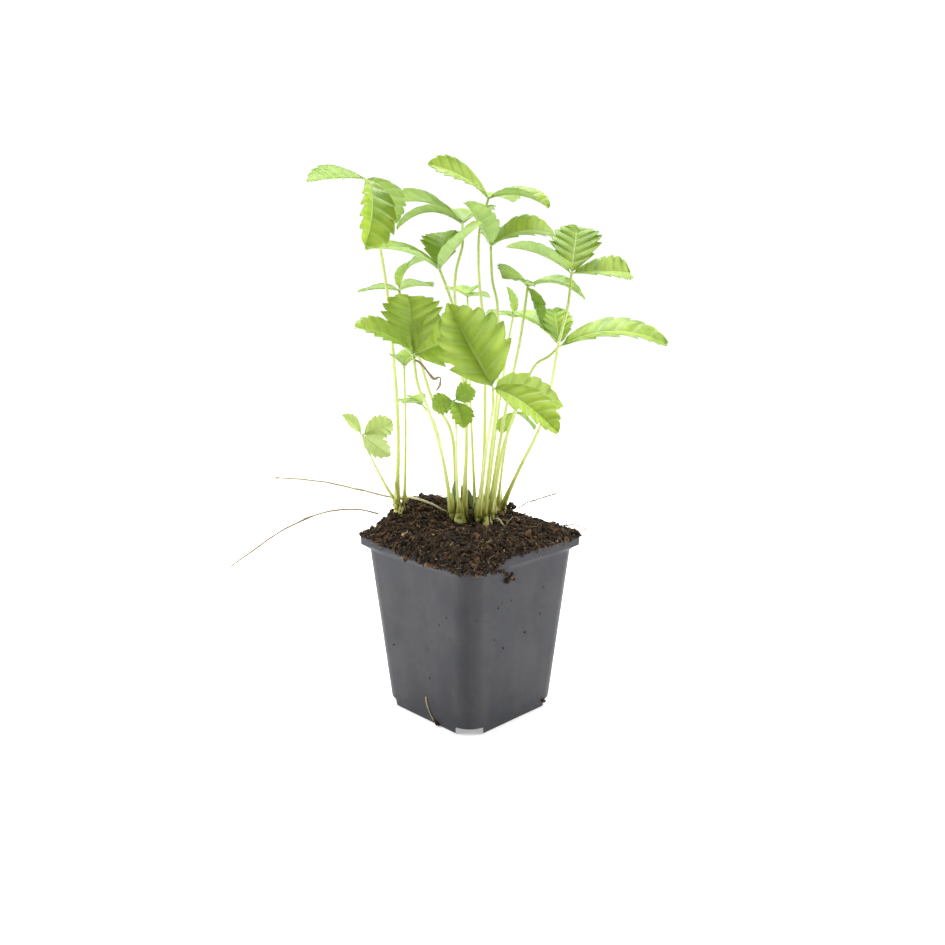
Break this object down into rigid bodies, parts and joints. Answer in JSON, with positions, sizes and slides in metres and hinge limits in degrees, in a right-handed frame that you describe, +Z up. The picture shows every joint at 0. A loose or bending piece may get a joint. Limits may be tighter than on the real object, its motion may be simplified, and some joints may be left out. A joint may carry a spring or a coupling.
{
  "type": "potted strawberry plant",
  "caption": "Young strawberry plant with toothed three-part leaves on slender upright stalks, growing from heaped peat in a square tapered nursery pot.",
  "frame": {"origin": "middle of the pot's flat underside, on the surface that it stands on", "axes": "+Z up; +X and +Y square to the pot's side walls, so the pot's corners point along the diagonals"},
  "size_m": [0.2098, 0.1509, 0.3053],
  "materials": {
    "pot_plastic": "satin moulded dark grey",
    "peat": "matt moist crumb",
    "crown_tissue": "matt, fibrous",
    "leaf_stalk": "soft satin, finely hairy",
    "leaf_blade": "soft satin, translucent",
    "dried_runner": "matt, dry",
    "young_shoot": "matt, hairy"
  },
  "bodies": {
    "root": {"pot": "pot_plastic", "soil": "peat", "crown_left": "crown_tissue", "crown_middle": "crown_tissue", "crown_main": "crown_tissue", "crown_right": "crown_tissue", "leaf_01_stalk": "leaf_stalk", "leaf_01_blade": "leaf_blade", "leaf_02_stalk": "leaf_stalk", "leaf_02_blade": "leaf_blade", "leaf_03_stalk": "leaf_stalk", "leaf_03_blade": "leaf_blade", "leaf_04_stalk": "leaf_stalk", "leaf_04_blade": "leaf_blade", "leaf_05_stalk": "leaf_stalk", "leaf_05_blade": "leaf_blade", "leaf_06_stalk": "leaf_stalk", "leaf_06_blade": "leaf_blade", "leaf_07_stalk": "leaf_stalk", "leaf_07_blade": "leaf_blade", "leaf_08_stalk": "leaf_stalk", "leaf_08_blade": "leaf_blade", "leaf_09_stalk": "leaf_stalk", "leaf_09_blade": "leaf_blade", "leaf_10_stalk": "leaf_stalk", "leaf_10_blade": "leaf_blade", "leaf_11_stalk": "leaf_stalk", "leaf_11_blade": "leaf_blade", "leaf_12_stalk": "leaf_stalk", "leaf_12_blade": "leaf_blade", "leaf_13_stalk": "leaf_stalk", "leaf_13_blade": "leaf_blade", "leaf_14_stalk": "leaf_stalk", "leaf_14_blade": "leaf_blade", "leaf_15_stalk": "leaf_stalk", "leaf_15_blade": "leaf_blade", "leaf_16_stalk": "leaf_stalk", "leaf_16_blade": "leaf_blade", "leaf_17_stalk": "leaf_stalk", "leaf_17_blade": "leaf_blade", "leaf_18_stalk": "leaf_stalk", "leaf_18_blade": "leaf_blade", "runner_pale": "dried_runner", "runner_brown": "dried_runner", "runner_short": "dried_runner", "young_shoot_1": "young_shoot", "young_shoot_2": "young_shoot"}
  },
  "joints": []
}
